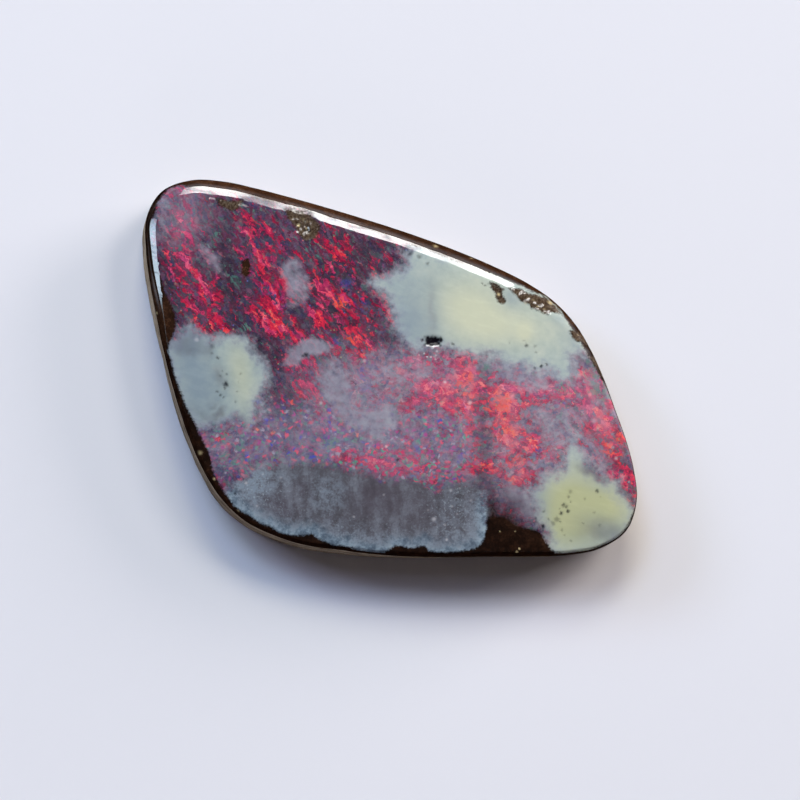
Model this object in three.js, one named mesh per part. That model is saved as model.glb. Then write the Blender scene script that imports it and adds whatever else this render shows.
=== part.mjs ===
// Boulder opal, cut and polished as a freeform cabochon.
// One natural stone: a thin opal face on its own ironstone, ground flat underneath,
// with a low dome, a rounded polished shoulder and a steep unpolished side wall. The
// shoulder is broad along the far edge. On the other sides the wall is higher and the
// shoulder is only a narrow bevel. Along the near and right edges the wall leans in
// under the face.
// Millimetres, +Z up. The stone lies on its flat back at z = 0, with the middle of
// its outline on the Z axis.

import * as THREE from 'three';
import { mergeVertices } from 'three/addons/utils/BufferGeometryUtils.js';

// ---- driving dimensions ----------------------------------------------------
const WALL_HEIGHT = 1.5;      // height of the unpolished side wall, up to the girdle
const BEVEL_LIFT = 0.65;      // how much higher the wall is where the shoulder is a full bevel
const BEVEL_POWER = 1.3;      // exponent of the shoulder's curve at a full bevel; 2 is an ellipse
const TOP_HEIGHT = 3.1;       // height of the crown of the dome
const DOME_DROP = 0.6;        // fall of the dome from the crown to its half axes
const DOME_HALF = [11.8, 7.4];  // half axes of the dome in plan, along and across the stone
const DOME_TURN = -34.4;      // direction of the long half axis, degrees from +X
const CROWN = [0.25, -0.15];  // plan position of the crown of the dome
const BEVEL_EDGE = 0.055;     // how far the girdle of a full bevel stands outside the outline
const WALL_FLARE = 0.075;     // how far the foot of the wall stands outside it where it doesn't lean in
const FOOT_INSET = 0.22;      // width of the rounded edge around the back
const FOOT_HEIGHT = 0.18;     // height of that rounded edge
const STEPS_PER_SPAN = 2;     // facets between two outline points
const SHOULDER_RINGS = 7;     // rings around the rounded shoulder
const DOME_RINGS = 6;         // rings between the shoulder and the crown

// Outline of the stone, counted clockwise from the upper left corner and seen from above:
// x, y, the width of the polished shoulder there, how far it is a bevel, and how far the
// foot of the wall leans in from its flare.
const GIRDLE = [
  [-9.59, 7.24, 0.72, 0.50, 0.06], [-8.38, 7.77, 0.95, 0.15, 0.06], [-7.05, 7.76, 1.10, 0.00, 0.06],
  [-5.74, 7.50, 1.12, 0.00, 0.06], [-4.44, 7.18, 1.12, 0.00, 0.06], [-3.15, 6.84, 1.12, 0.00, 0.06],
  [-1.87, 6.48, 1.12, 0.00, 0.06], [-0.58, 6.10, 1.12, 0.00, 0.06], [0.69, 5.70, 1.12, 0.00, 0.06],
  [1.96, 5.27, 1.12, 0.00, 0.06], [3.21, 4.80, 1.10, 0.00, 0.06], [4.44, 4.28, 1.08, 0.00, 0.06],
  [5.64, 3.69, 1.02, 0.00, 0.06], [6.74, 2.94, 0.96, 0.05, 0.06], [7.62, 1.95, 0.72, 0.25, 0.10],
  [8.25, 0.80, 0.46, 0.55, 0.14], [8.75, -0.43, 0.30, 0.80, 0.18], [9.18, -1.70, 0.22, 0.95, 0.21],
  [9.61, -2.95, 0.17, 1.00, 0.24], [9.93, -4.22, 0.15, 1.00, 0.27], [10.03, -5.49, 0.14, 1.00, 0.30],
  [9.60, -6.69, 0.14, 1.00, 0.32], [8.51, -7.43, 0.13, 1.00, 0.30], [7.21, -7.71, 0.13, 1.00, 0.27],
  [5.87, -7.79, 0.13, 1.00, 0.26], [4.53, -7.81, 0.13, 1.00, 0.26], [3.20, -7.84, 0.13, 1.00, 0.26],
  [1.86, -7.87, 0.13, 1.00, 0.25], [0.52, -7.86, 0.13, 1.00, 0.22], [-0.81, -7.79, 0.13, 1.00, 0.17],
  [-2.14, -7.64, 0.13, 1.00, 0.13], [-3.48, -7.48, 0.13, 1.00, 0.13], [-4.80, -7.11, 0.13, 1.00, 0.13],
  [-6.06, -6.52, 0.14, 1.00, 0.13], [-7.09, -5.56, 0.15, 1.00, 0.08], [-7.84, -4.38, 0.15, 1.00, 0.08],
  [-8.39, -3.13, 0.16, 1.00, 0.07], [-8.83, -1.85, 0.17, 1.00, 0.05], [-9.21, -0.56, 0.18, 1.00, 0.06],
  [-9.53, 0.74, 0.20, 1.00, 0.07], [-9.80, 2.05, 0.28, 1.00, 0.02], [-10.06, 3.37, 0.40, 1.00, 0.01],
  [-10.23, 4.70, 0.44, 1.00, 0.00], [-10.22, 6.05, 0.48, 0.95, 0.00],
];

// ---- outline ---------------------------------------------------------------
const outline = new THREE.CatmullRomCurve3(
  GIRDLE.map(([x, y, r]) => new THREE.Vector3(x, y, r)), true, 'catmullrom', 0.5);
const bevelling = new THREE.CatmullRomCurve3(
  GIRDLE.map((g) => new THREE.Vector3(g[3], g[4], 0)), true, 'catmullrom', 0.5);
const SEGMENTS = GIRDLE.length * STEPS_PER_SPAN;

// height and gradient of the dome over a point in plan
const turn = THREE.MathUtils.degToRad(DOME_TURN);
function dome(x, y) {
  const along = ((x - CROWN[0]) * Math.cos(turn) + (y - CROWN[1]) * Math.sin(turn)) / DOME_HALF[0];
  const across = (-(x - CROWN[0]) * Math.sin(turn) + (y - CROWN[1]) * Math.cos(turn)) / DOME_HALF[1];
  const ga = -2 * DOME_DROP * along / DOME_HALF[0];
  const gc = -2 * DOME_DROP * across / DOME_HALF[1];
  return {
    z: TOP_HEIGHT - DOME_DROP * (along * along + across * across),
    gradient: new THREE.Vector2(
      ga * Math.cos(turn) - gc * Math.sin(turn), ga * Math.sin(turn) + gc * Math.cos(turn)),
  };
}

function station(i) {
  const t = (i % SEGMENTS) / SEGMENTS;
  const p = outline.getPoint(t);
  const d = outline.getTangent(t);
  const n = new THREE.Vector2(-d.y, d.x).normalize();   // outward, as the outline runs clockwise
  const plan = new THREE.Vector2(p.x, p.y);
  const width = p.z;
  const b = bevelling.getPoint(t);
  const bevel = THREE.MathUtils.clamp(b.x, 0, 1);
  const foot = WALL_FLARE - Math.max(0, b.y);           // the foot of the wall stands out by this
  const wall = WALL_HEIGHT + BEVEL_LIFT * bevel;
  const power = 2 + (BEVEL_POWER - 2) * bevel;
  const edge = BEVEL_EDGE * bevel;                      // the girdle itself stands out by this
  // the shoulder is a quarter of an ellipse, or of a flatter curve of its kind, and runs
  // over into the dome without a ridge
  let end = 0.15;
  let rise = 1;
  for (let k = 0; k < 8; k++) {
    const top = plan.clone().addScaledVector(n, edge - width * (1 - Math.sin(end) ** (2 / power)));
    const { z, gradient } = dome(top.x, top.y);
    rise = (z - wall) / Math.cos(end) ** (2 / power);
    end = Math.atan((Math.max(0.02, -gradient.dot(n)) * width / rise) ** (power / (2 * (power - 1))));
  }
  return { plan, n, width, wall, power, edge, foot, rise, end };
}

// ---- profile ---------------------------------------------------------------
// Each ring of the profile gives the offset from the outline along its normal, the
// share of the way to the crown, and the height. The dome gives the height of the
// rings that have none.
const rings = [
  () => ({ out: 0, inward: 1, z: 0 }),
  (s) => ({ out: s.foot - FOOT_INSET, inward: 0, z: 0 }),
  (s) => ({ out: s.foot - FOOT_INSET * 0.3, inward: 0, z: FOOT_HEIGHT * 0.3 }),
  (s) => ({ out: s.foot, inward: 0, z: FOOT_HEIGHT }),
  (s) => ({ out: (s.foot + s.edge) / 2, inward: 0, z: (FOOT_HEIGHT + s.wall) / 2 }),
];
for (let k = 0; k <= SHOULDER_RINGS; k++) {
  rings.push((s) => {
    const a = Math.PI / 2 + (s.end - Math.PI / 2) * k / SHOULDER_RINGS;
    const e = 2 / s.power;
    const inset = s.width * (1 - Math.sin(a) ** e);
    return { out: s.edge - inset, inward: 0, z: s.wall + s.rise * Math.max(0, Math.cos(a)) ** e };
  });
}
for (let k = 1; k <= DOME_RINGS; k++) {
  rings.push((s) => ({
    out: s.edge - s.width * (1 - Math.sin(s.end) ** (2 / s.power)), inward: k / DOME_RINGS,
  }));
}

// ---- solid -----------------------------------------------------------------
// A turned cabochon of the mean outline, whose rings are then drawn out to the
// freeform outline.
const stations = Array.from({ length: SEGMENTS + 1 }, (_, i) => station(i));
const meanRadius = stations.reduce((a, s) => a + s.plan.length(), 0) / stations.length;
const meanStation = { width: 0.8, wall: WALL_HEIGHT, power: 2, edge: 0, foot: WALL_FLARE, rise: 1, end: 0.15 };
const profile = rings.map((ring) => {
  const q = ring(meanStation);
  return new THREE.Vector2((meanRadius + q.out) * (1 - q.inward), q.z ?? TOP_HEIGHT);
});

const geometry = new THREE.LatheGeometry(profile, SEGMENTS);
geometry.deleteAttribute('normal');
geometry.deleteAttribute('uv');
const position = geometry.getAttribute('position');
const crown = new THREE.Vector2(...CROWN);
for (let i = 0; i <= SEGMENTS; i++) {
  for (let j = 0; j < profile.length; j++) {
    const s = stations[i];
    const q = rings[j](s);
    const p = s.plan.clone().addScaledVector(s.n, q.out).lerp(crown, q.inward);
    position.setXYZ(i * profile.length + j, p.x, p.y, q.z ?? dome(p.x, p.y).z);
  }
}

const solid = mergeVertices(geometry, 1e-4);
solid.computeBoundingBox();
const box = solid.boundingBox;
solid.translate(-(box.min.x + box.max.x) / 2, -(box.min.y + box.max.y) / 2, -box.min.z);

// faces point out of the stone
{
  const p = solid.getAttribute('position');
  const index = solid.getIndex();
  const keep = [];
  let volume = 0;
  for (let k = 0; k < index.count; k += 3) {
    const [a, b, c] = [index.getX(k), index.getX(k + 1), index.getX(k + 2)];
    if (a === b || b === c || c === a) continue;
    keep.push([a, b, c]);
    const A = new THREE.Vector3().fromBufferAttribute(p, a);
    const B = new THREE.Vector3().fromBufferAttribute(p, b);
    const C = new THREE.Vector3().fromBufferAttribute(p, c);
    volume += A.dot(B.cross(C)) / 6;
  }
  solid.setIndex(keep.flatMap(([a, b, c]) => (volume > 0 ? [a, b, c] : [a, c, b])));
}
solid.computeVertexNormals();

const boulderOpal = new THREE.Mesh(solid, new THREE.MeshStandardMaterial({
  color: 0x6b3a47,      // mean of the crimson, slate, potch and ironstone of the face
  roughness: 0.25,
  metalness: 0.0,
}));
boulderOpal.name = 'boulder_opal';

const part = new THREE.Group();
part.add(boulderOpal);

export default part;
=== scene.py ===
import math

import bpy
import numpy as np
from mathutils import Matrix, Vector
from mathutils.geometry import delaunay_2d_cdt


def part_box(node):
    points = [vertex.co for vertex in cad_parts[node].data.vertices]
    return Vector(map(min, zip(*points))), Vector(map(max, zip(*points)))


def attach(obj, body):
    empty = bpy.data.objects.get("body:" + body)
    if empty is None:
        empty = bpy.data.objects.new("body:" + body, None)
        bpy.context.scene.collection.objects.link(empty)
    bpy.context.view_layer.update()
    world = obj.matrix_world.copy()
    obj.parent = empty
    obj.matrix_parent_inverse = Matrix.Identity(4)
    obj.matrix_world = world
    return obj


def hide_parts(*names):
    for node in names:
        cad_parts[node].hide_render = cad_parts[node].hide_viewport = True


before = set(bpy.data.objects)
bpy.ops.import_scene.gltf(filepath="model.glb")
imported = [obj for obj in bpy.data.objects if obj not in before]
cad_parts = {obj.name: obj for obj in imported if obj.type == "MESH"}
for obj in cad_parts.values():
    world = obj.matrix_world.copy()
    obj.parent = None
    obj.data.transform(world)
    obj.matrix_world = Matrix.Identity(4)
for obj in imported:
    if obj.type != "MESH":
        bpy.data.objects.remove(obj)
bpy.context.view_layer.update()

# ---------------------------------------------------------------------------
# Camera: nearly straight down, leaning a little towards the lower left of the
# stone. All lengths here are in millimetres until the meshes are made.
# ---------------------------------------------------------------------------
MM_PER_PX = 0.0417            # at the plane the stone lies on
CAM_DIST = 220.0
LEAN, LEAN_DIR = math.radians(11.0), math.radians(59.0)
TARGET = np.array([0.4695, -1.0464, 0.0])

LOOK = np.array([math.cos(LEAN_DIR) * math.sin(LEAN), math.sin(LEAN_DIR) * math.sin(LEAN), -math.cos(LEAN)])
RIGHT = np.cross(LOOK, [0.0, 1.0, 0.0])
RIGHT /= np.linalg.norm(RIGHT)
UP = np.cross(RIGHT, LOOK)
EYE = TARGET - LOOK * CAM_DIST


def to_px(p):
    """Where points in millimetres fall in an 800 x 800 image from that camera."""
    q = p - EYE
    depth = q @ LOOK
    k = CAM_DIST / MM_PER_PX / depth
    return np.stack([400 + (q @ RIGHT) * k, 400 - (q @ UP) * k], axis=1)


# ---------------------------------------------------------------------------
# Small numeric tools
# ---------------------------------------------------------------------------
def smooth(a, b, x):
    t = np.clip((x - a) / (b - a), 0, 1)
    return t * t * (3 - 2 * t)


def lattice_noise(x, y, seed):
    """Smooth noise between -1 and 1, one feature per unit, the same each run."""
    def corner(ix, iy):
        h = (ix.astype(np.int64) * 374761393 + iy.astype(np.int64) * 668265263 + seed * 974634777) & 0x7FFFFFFF
        h = ((h ^ (h >> 13)) * 1274126177) & 0x7FFFFFFF
        h = (h ^ (h >> 16)) & 0xFFFF
        return h / 32767.5 - 1.0
    fx, fy = np.floor(x), np.floor(y)
    tx, ty = x - fx, y - fy
    tx, ty = tx * tx * tx * (tx * (6 * tx - 15) + 10), ty * ty * ty * (ty * (6 * ty - 15) + 10)
    a, b = corner(fx, fy), corner(fx + 1, fy)
    c, d = corner(fx, fy + 1), corner(fx + 1, fy + 1)
    return (a * (1 - tx) + b * tx) * (1 - ty) + (c * (1 - tx) + d * tx) * ty


def fbm(x, y, seed, octaves=3):
    s, amp = 0.0, 1.0
    for k in range(octaves):
        s = s + amp * lattice_noise(x * 2 ** k + 17.3 * k, y * 2 ** k - 9.1 * k, seed + k)
        amp *= 0.5
    return s


def inside_distance(poly, u, v):
    """Distance to a closed outline, positive inside it."""
    poly = np.asarray(poly, float)
    best = np.full(u.shape, 1e9)
    inside = np.zeros(u.shape, bool)
    for (x0, y0), (x1, y1) in zip(poly, np.roll(poly, -1, axis=0)):
        dx, dy = x1 - x0, y1 - y0
        t = np.clip(((u - x0) * dx + (v - y0) * dy) / (dx * dx + dy * dy + 1e-12), 0, 1)
        best = np.minimum(best, (u - x0 - t * dx) ** 2 + (v - y0 - t * dy) ** 2)
        if y0 != y1:
            hit = ((y0 > v) != (y1 > v)) & (u < (x1 - x0) * (v - y0) / (y1 - y0) + x0)
            inside ^= hit
    return np.sqrt(best) * np.where(inside, 1, -1)


def clouds(spots, u, v, power=1.0):
    """Sum of soft oval spots: centre, half axes, turn in degrees, strength."""
    s = np.zeros(u.shape)
    for cx, cy, rx, ry, deg, amp in spots:
        c, n = math.cos(math.radians(deg)), math.sin(math.radians(deg))
        a = ((u - cx) * c + (v - cy) * n) / rx
        b = (-(u - cx) * n + (v - cy) * c) / ry
        s += amp * np.exp(-0.5 * (a * a + b * b) ** power)
    return s


# ---------------------------------------------------------------------------
# Shape of the stone. Girdle outline: x, y, width of the polished shoulder, how far the
# shoulder is a bevel, and how far the foot of the wall leans in.
# ---------------------------------------------------------------------------
WALL_HEIGHT, TOP_HEIGHT = 1.5, 3.1
BEVEL_LIFT, BEVEL_POWER, BEVEL_EDGE = 0.65, 1.3, 0.055
DOME_DROP, DOME_HALF, DOME_TURN = 0.6, (11.8, 7.4), math.radians(-34.4)
CROWN = np.array([0.25, -0.15])
WALL_FLARE, FOOT_INSET, FOOT_HEIGHT = 0.075, 0.22, 0.18
GIRDLE = np.array([
    [-9.59, 7.24, 0.72, 0.50, 0.06], [-8.38, 7.77, 0.95, 0.15, 0.06], [-7.05, 7.76, 1.10, 0.00, 0.06],
    [-5.74, 7.50, 1.12, 0.00, 0.06], [-4.44, 7.18, 1.12, 0.00, 0.06], [-3.15, 6.84, 1.12, 0.00, 0.06],
    [-1.87, 6.48, 1.12, 0.00, 0.06], [-0.58, 6.10, 1.12, 0.00, 0.06], [0.69, 5.70, 1.12, 0.00, 0.06],
    [1.96, 5.27, 1.12, 0.00, 0.06], [3.21, 4.80, 1.10, 0.00, 0.06], [4.44, 4.28, 1.08, 0.00, 0.06],
    [5.64, 3.69, 1.02, 0.00, 0.06], [6.74, 2.94, 0.96, 0.05, 0.06], [7.62, 1.95, 0.72, 0.25, 0.10],
    [8.25, 0.80, 0.46, 0.55, 0.14], [8.75, -0.43, 0.30, 0.80, 0.18], [9.18, -1.70, 0.22, 0.95, 0.21],
    [9.61, -2.95, 0.17, 1.00, 0.24], [9.93, -4.22, 0.15, 1.00, 0.27], [10.03, -5.49, 0.14, 1.00, 0.30],
    [9.60, -6.69, 0.14, 1.00, 0.32], [8.51, -7.43, 0.13, 1.00, 0.30], [7.21, -7.71, 0.13, 1.00, 0.27],
    [5.87, -7.79, 0.13, 1.00, 0.26], [4.53, -7.81, 0.13, 1.00, 0.26], [3.20, -7.84, 0.13, 1.00, 0.26],
    [1.86, -7.87, 0.13, 1.00, 0.25], [0.52, -7.86, 0.13, 1.00, 0.22], [-0.81, -7.79, 0.13, 1.00, 0.17],
    [-2.14, -7.64, 0.13, 1.00, 0.13], [-3.48, -7.48, 0.13, 1.00, 0.13], [-4.80, -7.11, 0.13, 1.00, 0.13],
    [-6.06, -6.52, 0.14, 1.00, 0.13], [-7.09, -5.56, 0.15, 1.00, 0.08], [-7.84, -4.38, 0.15, 1.00, 0.08],
    [-8.39, -3.13, 0.16, 1.00, 0.07], [-8.83, -1.85, 0.17, 1.00, 0.05], [-9.21, -0.56, 0.18, 1.00, 0.06],
    [-9.53, 0.74, 0.20, 1.00, 0.07], [-9.80, 2.05, 0.28, 1.00, 0.02], [-10.06, 3.37, 0.40, 1.00, 0.01],
    [-10.23, 4.70, 0.44, 1.00, 0.00], [-10.22, 6.05, 0.48, 0.95, 0.00],
])


def dome(x, y):
    c, s = math.cos(DOME_TURN), math.sin(DOME_TURN)
    a = ((x - CROWN[0]) * c + (y - CROWN[1]) * s) / DOME_HALF[0]
    b = (-(x - CROWN[0]) * s + (y - CROWN[1]) * c) / DOME_HALF[1]
    ga, gb = -2 * DOME_DROP * a / DOME_HALF[0], -2 * DOME_DROP * b / DOME_HALF[1]
    return TOP_HEIGHT - DOME_DROP * (a * a + b * b), ga * c - gb * s, ga * s + gb * c


def stations(per_span):
    """Points of the smooth closed outline through GIRDLE, with outward normals."""
    n = len(GIRDLE)
    t = np.arange(n * per_span) / per_span
    i, f = t.astype(int), (t - t.astype(int))[:, None]
    p0, p1, p2, p3 = (GIRDLE[(i + k) % n] for k in (-1, 0, 1, 2))
    m1, m2 = 0.5 * (p2 - p0), 0.5 * (p3 - p1)
    p = (2 * f ** 3 - 3 * f ** 2 + 1) * p1 + (f ** 3 - 2 * f ** 2 + f) * m1 \
        + (-2 * f ** 3 + 3 * f ** 2) * p2 + (f ** 3 - f ** 2) * m2
    d = (6 * f ** 2 - 6 * f) * p1 + (3 * f ** 2 - 4 * f + 1) * m1 \
        + (-6 * f ** 2 + 6 * f) * p2 + (3 * f ** 2 - 2 * f) * m2
    nrm = np.stack([-d[:, 1], d[:, 0]], axis=1)
    nrm /= np.linalg.norm(nrm, axis=1)[:, None]
    return p[:, :2], p[:, 2], np.clip(p[:, 3], 0, 1), WALL_FLARE - np.maximum(0, p[:, 4]), nrm


PLAN, WIDTH, BEVEL, OUT, NORMAL = stations(16)
M = len(PLAN)
RIM = WALL_HEIGHT + BEVEL_LIFT * BEVEL           # height of the girdle
POWER = 2 + (BEVEL_POWER - 2) * BEVEL
EDGE = BEVEL_EDGE * BEVEL                        # how far the girdle stands out
END = np.full(M, 0.15)
for _ in range(8):
    foot = PLAN + NORMAL * (EDGE - WIDTH * (1 - np.sin(END) ** (2 / POWER)))[:, None]
    z, gx, gy = dome(foot[:, 0], foot[:, 1])
    RISE = (z - RIM) / np.cos(END) ** (2 / POWER)
    lean = np.maximum(0.02, -(gx * NORMAL[:, 0] + gy * NORMAL[:, 1])) * WIDTH / RISE
    END = np.arctan(lean ** (POWER / (2 * (POWER - 1))))

# ---------------------------------------------------------------------------
# Markings, drawn as outlines and soft spots in image pixels of that camera
# ---------------------------------------------------------------------------
OPAL = [
    (170, 189), (180, 186), (200, 188), (225, 191), (258, 198), (292, 207), (327, 217), (361, 227), (395, 239),
    (430, 251), (464, 265), (499, 277), (526, 288), (545, 297), (560, 311), (574, 331), (586, 352), (600, 378),
    (620, 400), (640, 440), (648, 480), (640, 500), (634, 509), (631, 519), (625, 530), (617, 538), (605, 544),
    (590, 549), (575, 552), (564, 553), (556, 553), (551, 549), (548, 543), (544, 537), (538, 532), (527, 528),
    (518, 522), (512, 515), (507, 511), (500, 513), (496, 506), (493, 501), (489, 500), (487, 507), (487, 517),
    (486, 528), (484, 538), (480, 545), (474, 548), (462, 551), (448, 552.5), (434, 552), (429, 550), (424, 546),
    (418, 546), (413, 548), (408, 548), (401, 546), (395, 546), (390, 549), (384, 552), (370, 552), (358, 551),
    (352, 548), (342, 546), (332, 544), (323, 541), (316, 537), (311, 533), (305, 534), (298, 536), (288, 535),
    (279, 532), (272, 527), (266, 525), (258, 522), (250, 517), (243, 512), (236, 506), (229, 498), (223, 490),
    (218, 482), (214, 474), (211, 466), (210, 458), (208, 450), (203, 440), (198, 430), (193, 420), (189, 410),
    (184, 398), (180, 388), (175, 376), (171, 362), (169, 352), (169, 346), (172, 338), (174, 330), (176, 322),
    (175, 315), (172, 306), (168, 300), (164, 292), (162, 282), (159, 272), (156, 262), (152, 250), (150.5, 240),
    (151, 228), (153, 216), (156, 206), (162, 196),
]
IRON_SPOTS = [
    [(490, 283), (498, 284), (505, 287), (504, 293), (506, 300), (503, 305), (498, 302), (496, 296), (492, 290)],
    [(508, 287), (520, 289), (535, 293), (548, 299), (558, 309), (561, 314), (552, 312), (547, 315), (540, 312),
     (533, 309), (529, 304), (521, 302), (516, 296)],
    [(569, 330), (577, 330), (583, 336), (589, 345), (582, 341), (578, 343), (573, 338)],
    [(590, 356), (594, 357), (601, 368), (605, 378), (600, 374), (595, 367)],
    [(286, 209), (294, 207), (304, 211), (314, 217), (321, 222), (320, 230), (316, 238), (307, 241), (300, 236),
     (296, 227), (289, 219)],
    [(216, 199), (228, 201), (243, 201), (240, 208), (230, 212), (220, 207)],
]
PLUG = [(242, 259), (249, 258), (251, 265), (250, 276), (245, 279), (241, 274), (241, 266)]
POTCH = [
    [(401, 248), (402, 262), (398, 268), (385, 272), (372, 277), (368, 283), (374, 289), (381, 294), (385, 302),
     (389, 314), (390, 323), (394, 331), (399, 339), (403, 346), (413, 349), (425, 347), (440, 350), (452, 353),
     (468, 354), (478, 358), (492, 362), (505, 366), (523, 370), (540, 372), (552, 377), (562, 382), (571, 381),
     (576, 378), (578, 368), (577, 358), (584, 357), (594, 354), (604, 340), (580, 310), (550, 280), (470, 255),
     (420, 240)],
    [(160, 348), (172, 339), (178, 331), (186, 326), (192, 325), (200, 331), (210, 334), (222, 333), (235, 333),
     (245, 335), (252, 341), (255, 350), (262, 358), (266, 366), (268, 376), (267, 388), (263, 396), (260, 404),
     (263, 411), (257, 420), (250, 428), (243, 425), (235, 421), (222, 424), (210, 426), (203, 430), (192, 436),
     (180, 410), (170, 380)],
    [(577, 431), (571, 437), (567, 445), (564, 453), (565, 461), (562, 467), (553, 472), (545, 478), (537, 484),
     (530, 490), (529, 500), (533, 512), (538, 522), (543, 532), (546, 545), (548, 562), (600, 562), (640, 530),
     (641, 512), (632, 499), (626, 491), (618, 484), (611, 478), (604, 475), (597, 471), (590, 465), (587, 455),
     (583, 445)],
]
GREY = [
    (224, 492), (230, 485), (238, 480), (248, 474), (262, 468), (276, 466), (290, 462), (306, 462), (318, 464),
    (330, 463), (345, 468), (358, 470), (370, 476), (380, 482), (392, 484), (405, 482), (418, 484), (432, 490),
    (445, 486), (455, 484), (465, 480), (475, 482), (483, 490), (488, 502), (490, 530), (486, 560), (300, 560),
    (230, 520),
]
VEILS = [
    ([(201, 246), (209, 244), (216, 250), (221, 258), (222, 266), (217, 271), (209, 270), (205, 262), (202, 254)], 0.9),
    ([(282, 262), (292, 258), (300, 264), (305, 275), (310, 285), (308, 297), (302, 306), (294, 310), (288, 303),
      (284, 292), (281, 280), (279, 270)], 0.8),
    ([(281, 362), (292, 352), (300, 346), (310, 341), (320, 341), (330, 346), (324, 350), (315, 353), (305, 358),
      (296, 361)], 1.5),
    ([(318, 372), (324, 362), (332, 360), (340, 370), (348, 376), (353, 388), (355, 402), (363, 411), (375, 409),
      (385, 402), (393, 407), (398, 416), (396, 428), (388, 437), (376, 440), (364, 436), (352, 428), (342, 418),
      (334, 406), (326, 394), (320, 384)], 0.9),
    ([(372, 352), (400, 350), (430, 362), (455, 370), (458, 380), (440, 384), (415, 380), (395, 386), (380, 382),
      (372, 366)], 0.55),
    ([(498, 498), (506, 489), (519, 486), (530, 490), (534, 505), (540, 522), (532, 522), (520, 512), (510, 503)], 0.95),
    ([(528, 406), (545, 406), (560, 412), (575, 416), (580, 426), (572, 436), (562, 447), (550, 440), (545, 430),
      (535, 420)], 0.5),
    ([(160, 198), (170, 194), (174, 205), (171, 225), (167, 245), (160, 258), (153, 250), (154, 220)], 0.42),
    ([(440, 352), (470, 356), (500, 364), (520, 370), (512, 378), (485, 374), (460, 366), (442, 362)], 0.5),
    ([(495, 366), (523, 371), (545, 375), (562, 384), (556, 393), (535, 394), (512, 388), (498, 376)], 0.72),
    ([(238, 471), (252, 466), (270, 460), (292, 456), (312, 457), (298, 465), (276, 470), (256, 477), (242, 482)], 0.62),
    ([(585, 455), (596, 452), (606, 462), (616, 474), (622, 484), (610, 479), (598, 470)], 0.7),
]

RED_STEEP = [
    (178, 275, 34, 13, 62, .78), (186, 312, 16, 10, 55, .42), (210, 308, 22, 10, 75, .80), (247, 230, 18, 6, 48, 1.0),
    (240, 216, 10, 5, 20, .8), (270, 280, 24, 12, 62, 1.35), (284, 330, 26, 13, 65, 1.1), (340, 253, 20, 14, 50, 1.25),
    (262, 330, 14, 8, 60, .6), (340, 310, 26, 14, 45, 1.0), (322, 318, 12, 8, 45, .7), (352, 335, 14, 9, 40, .62),
    (364, 348, 14, 9, 40, .66), (345, 357, 12, 6, 20, .5), (305, 380, 18, 13, 70, .9), (294, 400, 8, 6, 0, .7),
    (185, 215, 20, 12, 70, .72), (182, 235, 14, 12, 0, .55), (190, 262, 14, 6, 60, .5), (300, 250, 8, 8, 45, .5),
    (322, 282, 14, 10, 55, .9), (380, 300, 20, 7, 75, .5), (391, 258, 7, 5, 0, .6), (372, 262, 12, 6, 30, .4),
    (268, 225, 10, 8, 60, .6), (280, 245, 10, 10, 50, .5), (308, 418, 9, 9, 0, .6), (215, 282, 12, 10, 60, .5),
    (228, 330, 14, 7, 0, .4), (205, 250, 8, 5, 60, .5), (232, 250, 12, 6, 20, .5), (252, 310, 10, 10, 50, .6),
    (360, 295, 8, 6, 20, .6),
]
RED_FLAT = [
    (385, 462, 18, 8, 0, .85), (430, 455, 24, 16, 0, .22), (535, 388, 24, 6, 4, .42), (410, 467, 14, 6, 0, .8), (346, 456, 11, 5, 0, .6), (222, 436, 9, 5, 0, .55), (431, 482, 8, 4, 0, .9),
    (467, 378, 24, 10, 85, .98), (430, 394, 24, 9, -5, .74), (412, 405, 14, 5, -25, .65), (450, 405, 16, 7, 10, .45),
    (500, 402, 17, 14, 60, 1.1), (540, 392, 30, 5, 5, .62), (540, 402, 26, 4, 2, .62), (510, 432, 14, 9, -10, 1.0),
    (521, 441, 8, 7, 0, .9), (520, 456, 9, 8, 0, .9), (513, 478, 9, 6, -10, .8), (528, 473, 6, 6, 0, .5),
    (471, 430, 6, 11, 0, .42), (475, 465, 9, 7, 0, .8), (488, 468, 9, 6, 0, .9), (481, 452, 5, 5, 0, .4), (552, 453, 10, 7, 0, .6),
    (538, 443, 6, 5, 0, .6), (420, 360, 22, 10, 10, .5), (405, 368, 14, 8, 0, .45), (474, 440, 12, 10, 80, .3),
    (505, 410, 14, 10, 70, .7), (460, 365, 12, 10, 0, .5), (560, 392, 14, 6, 10, .6), (443, 384, 16, 6, 10, .36),
    (470, 400, 8, 8, 0, .6), (545, 381, 20, 3, 5, .3), (425, 382, 10, 7, 0, .6), (508, 455, 18, 18, 0, .3),
]
RED_SLANT = [
    (605, 405, 13, 11, 50, .38), (597, 400, 9, 7, 30, .65), (610, 448, 17, 6, 46, .95), (590, 432, 12, 9, 60, .9),
    (620, 435, 10, 6, 70, .9), (580, 392, 16, 10, 20, .7), (600, 425, 10, 10, 45, .7), (622, 462, 12, 6, 45, .75),
    (630, 480, 10, 7, 70, .45), (612, 474, 12, 6, 30, .6), (583, 372, 6, 4, 0, .7), (595, 382, 12, 6, 35, .5),
    (636, 500, 12, 3, 85, .5), (632, 487, 6, 5, 80, .4), (595, 412, 14, 5, 40, .6),
]
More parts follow.
